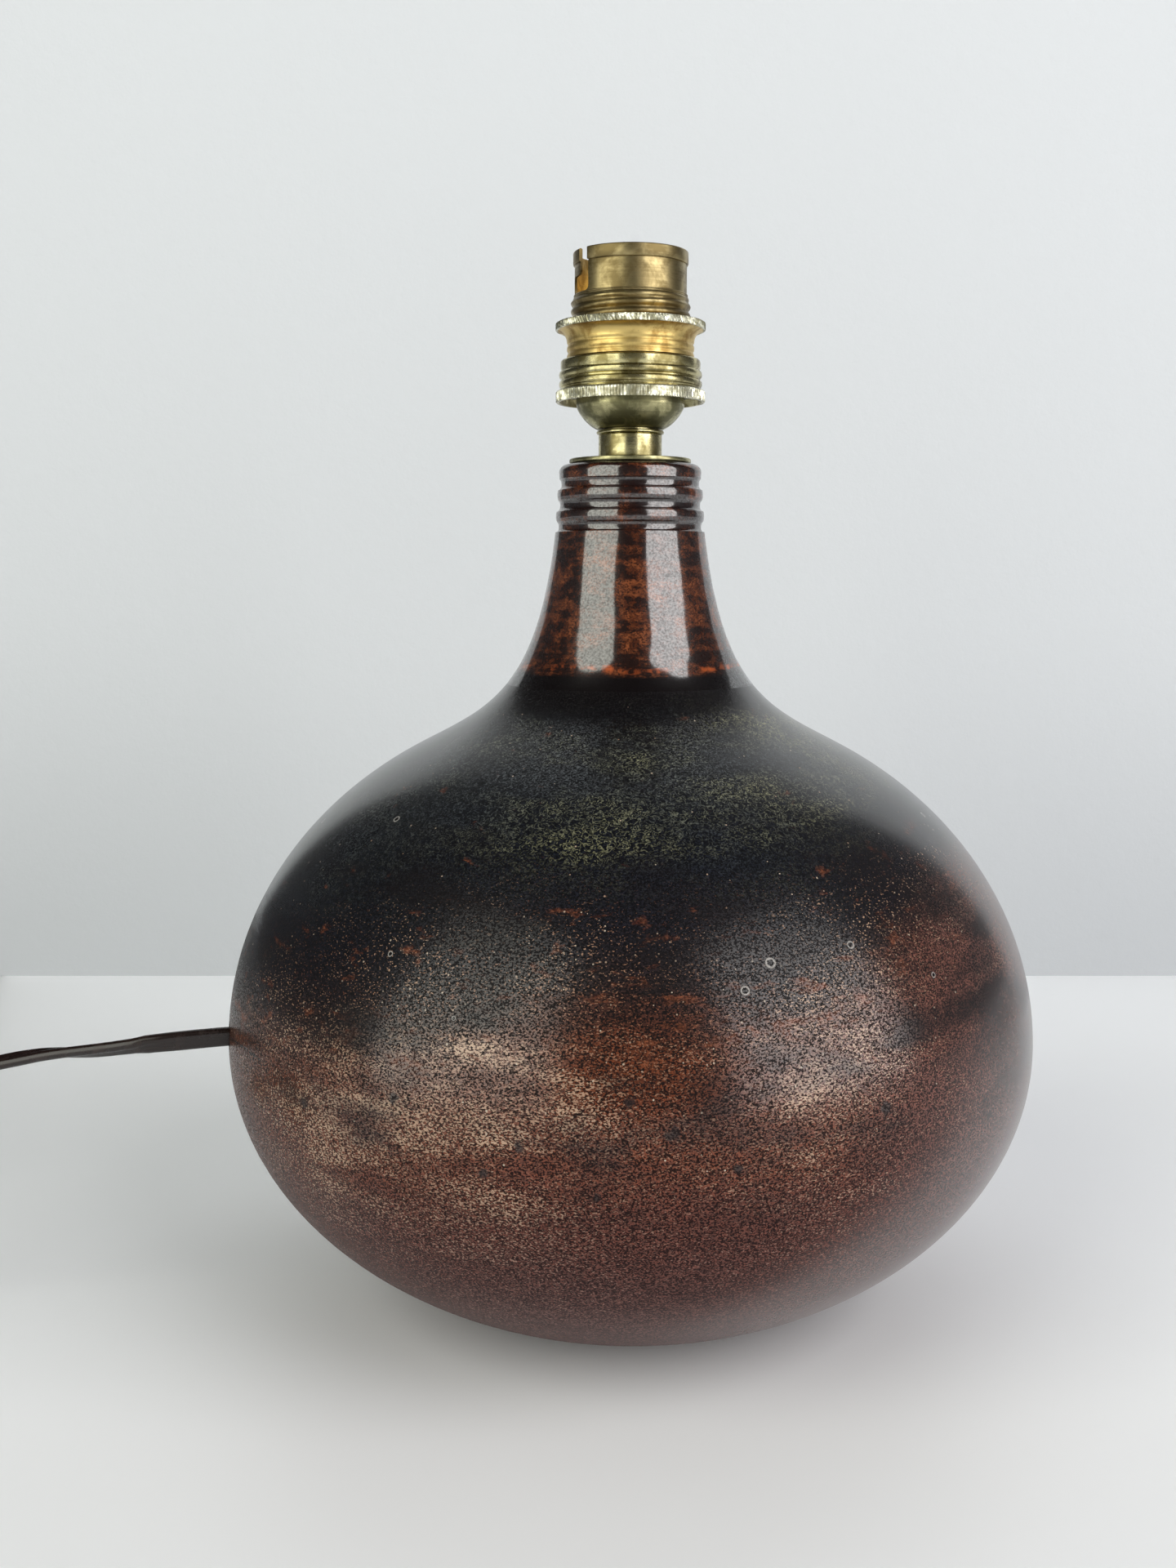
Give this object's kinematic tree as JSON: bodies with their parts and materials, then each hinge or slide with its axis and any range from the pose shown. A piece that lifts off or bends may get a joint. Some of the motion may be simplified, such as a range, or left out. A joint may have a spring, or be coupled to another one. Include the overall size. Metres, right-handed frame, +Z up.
{
  "type": "stoneware ball lamp",
  "caption": "Table lamp base: a glazed stoneware ball with a flared neck, a brass bayonet lampholder on top, and a dark twin flex from a hole in the ball to an inline switch and a plug.",
  "frame": {"origin": "on the table, under the middle of the foot", "axes": "+Z up through the neck and the lampholder; the flex leaves towards -X; -Y faces the viewer"},
  "size_m": [0.4557, 0.19, 0.2442],
  "materials": {
    "iron_glaze": "glossy to satin iron glaze with pale speckle",
    "aged_brass": "brushed, dull olive patina",
    "bright_brass": "turned, pale and shiny",
    "zinc_steel": "zinc plated",
    "bush_rubber": "matte",
    "porcelain": "smooth, glazed",
    "flex_sheath": "soft satin, near black brown",
    "core_copper": "bare copper strands",
    "brown_plastic": "moulded, slightly glossy"
  },
  "bodies": {
    "lamp": {"stoneware_body": "iron_glaze", "neck_bush": "bush_rubber", "neck_washer": "aged_brass", "threaded_tube": "zinc_steel", "clamp_bar": "zinc_steel", "clamp_washer": "zinc_steel", "clamp_nut": "bright_brass", "entry_collar": "bright_brass", "holder_dome": "aged_brass", "clamp_ring": "bright_brass", "barrel": "aged_brass", "porcelain_core": "porcelain", "contact_spring_front": "zinc_steel", "contact_spring_rear": "zinc_steel", "terminal_front": "bright_brass", "terminal_rear": "bright_brass", "terminal_screw_front": "zinc_steel", "terminal_screw_rear": "zinc_steel", "inner_flex": "flex_sheath", "core_wire_front": "core_copper", "core_wire_rear": "core_copper", "cord_run": "flex_sheath", "switch_base": "brown_plastic", "switch_cover": "brown_plastic", "switch_contact_live": "bright_brass", "switch_contact_load": "bright_brass", "switch_screw_1": "zinc_steel", "switch_screw_2": "zinc_steel", "cord_coil": "flex_sheath", "coil_tie": "flex_sheath", "cord_tail": "flex_sheath", "plug_body": "brown_plastic", "plug_pin_near": "bright_brass", "plug_pin_far": "bright_brass"},
    "shade_ring": {"shade_ring": "bright_brass"},
    "plunger_front": {"plunger_front": "bright_brass"},
    "plunger_rear": {"plunger_rear": "bright_brass"},
    "switch_rocker": {"switch_rocker": "brown_plastic"}
  },
  "joints": [
    {"name": "shade_ring_travel", "type": "slide", "parent": "lamp", "child": "shade_ring", "axis": [0, 0, 1], "range_m": [0, 0.013]},
    {"name": "plunger_front_travel", "type": "slide", "parent": "lamp", "child": "plunger_front", "axis": [0, 0, 1], "range_m": [-0.003, 0], "stiffness_N_per_m": 400, "springref_m": 0.004, "deforming": ["contact_spring_front"]},
    {"name": "plunger_rear_travel", "type": "slide", "parent": "lamp", "child": "plunger_rear", "axis": [0, 0, 1], "range_m": [-0.003, 0], "stiffness_N_per_m": 400, "springref_m": 0.004, "deforming": ["contact_spring_rear"]},
    {"name": "switch_rocker_pivot", "type": "hinge", "parent": "lamp", "child": "switch_rocker", "pos_m": [-0.2539, -0.02513, 0.01175], "axis": [0, 1, 0], "range_deg": [-14, 0]}
  ]
}
